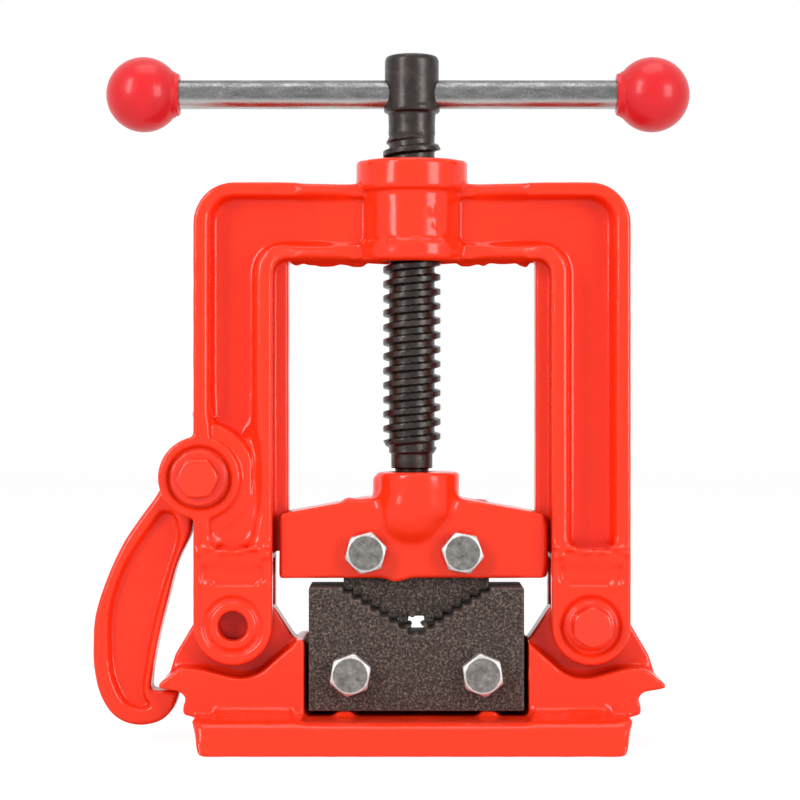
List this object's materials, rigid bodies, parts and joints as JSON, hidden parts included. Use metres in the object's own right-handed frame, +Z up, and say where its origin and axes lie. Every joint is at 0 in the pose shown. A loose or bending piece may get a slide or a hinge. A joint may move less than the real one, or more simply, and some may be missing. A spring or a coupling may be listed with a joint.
{
  "type": "pipe vise",
  "caption": "Bench pipe vise with a hinged yoke held by a swing latch, a screw-driven crosshead with sliding bar handle, and stepped V jaws.",
  "frame": {"origin": "on the underside of the base, in the middle of the bench face and on the screw's axis", "axes": "+Z up along the screw, +Y towards the back along the axis of a held pipe, +X towards the hinge"},
  "size_m": [0.206, 0.076, 0.2374],
  "materials": {
    "base_enamel": "thick gloss enamel over cast iron",
    "yoke_enamel": "thick gloss enamel over cast iron",
    "latch_enamel": "thick gloss enamel over cast iron",
    "crosshead_enamel": "thick gloss enamel over cast iron",
    "jaw_steel": "hardened dark steel, blasted and oiled",
    "bolt_zinc": "bright zinc plate",
    "bolt_enamel": "steel hardware sprayed over with the gloss enamel",
    "pin_steel": "ground steel",
    "screw_oxide": "brown-black oxide, oiled",
    "bar_plate": "bright plated bar with light rub marks",
    "knob_plastic": "gloss moulded plastic"
  },
  "bodies": {
    "base_body": {"base": "base_enamel", "lower_jaw": "jaw_steel", "lower_jaw_bolt_left": "bolt_zinc", "lower_jaw_bolt_right": "bolt_zinc"},
    "yoke_body": {"yoke_beam": "yoke_enamel", "yoke_leg_left": "yoke_enamel", "yoke_leg_right": "yoke_enamel", "hinge_bolt": "bolt_enamel", "hinge_washer": "bolt_zinc", "hinge_nut": "bolt_zinc", "latch_bolt": "bolt_enamel", "latch_washer": "bolt_enamel", "latch_nut": "bolt_zinc"},
    "latch_body": {"latch": "latch_enamel"},
    "crosshead_body": {"crosshead": "crosshead_enamel", "upper_jaw": "jaw_steel", "upper_jaw_bolt_left": "bolt_zinc", "upper_jaw_bolt_right": "bolt_zinc", "retaining_pin_left": "pin_steel", "retaining_pin_right": "pin_steel"},
    "screw_body": {"screw": "screw_oxide"},
    "handle_body": {"handle_bar": "bar_plate", "handle_knob_left": "knob_plastic", "handle_knob_right": "knob_plastic"}
  },
  "joints": [
    {"name": "yoke_swing", "type": "hinge", "parent": "base_body", "child": "yoke_body", "pos_m": [0.06105, 0, 0.041], "axis": [0, 1, 0], "range_deg": [0, 90]},
    {"name": "latch_swing", "type": "hinge", "parent": "yoke_body", "child": "latch_body", "pos_m": [-0.0725, 0, 0.0915], "axis": [0, 1, 0], "range_deg": [0, 90]},
    {"name": "crosshead_slide", "type": "slide", "parent": "yoke_body", "child": "crosshead_body", "axis": [0, 0, 1], "range_m": [0, 0.061]},
    {"name": "screw_turn", "type": "hinge", "parent": "crosshead_body", "child": "screw_body", "pos_m": [0, 0, 0.1], "axis": [0, 0, 1], "range_deg": [0, 4320]},
    {"name": "handle_slide", "type": "slide", "parent": "screw_body", "child": "handle_body", "axis": [1, 0, 0], "range_m": [-0.061, 0.07]}
  ],
  "couplings": [
    {"joint": "crosshead_slide", "follows": "screw_turn", "m_per_rad": 0.00079577}
  ]
}
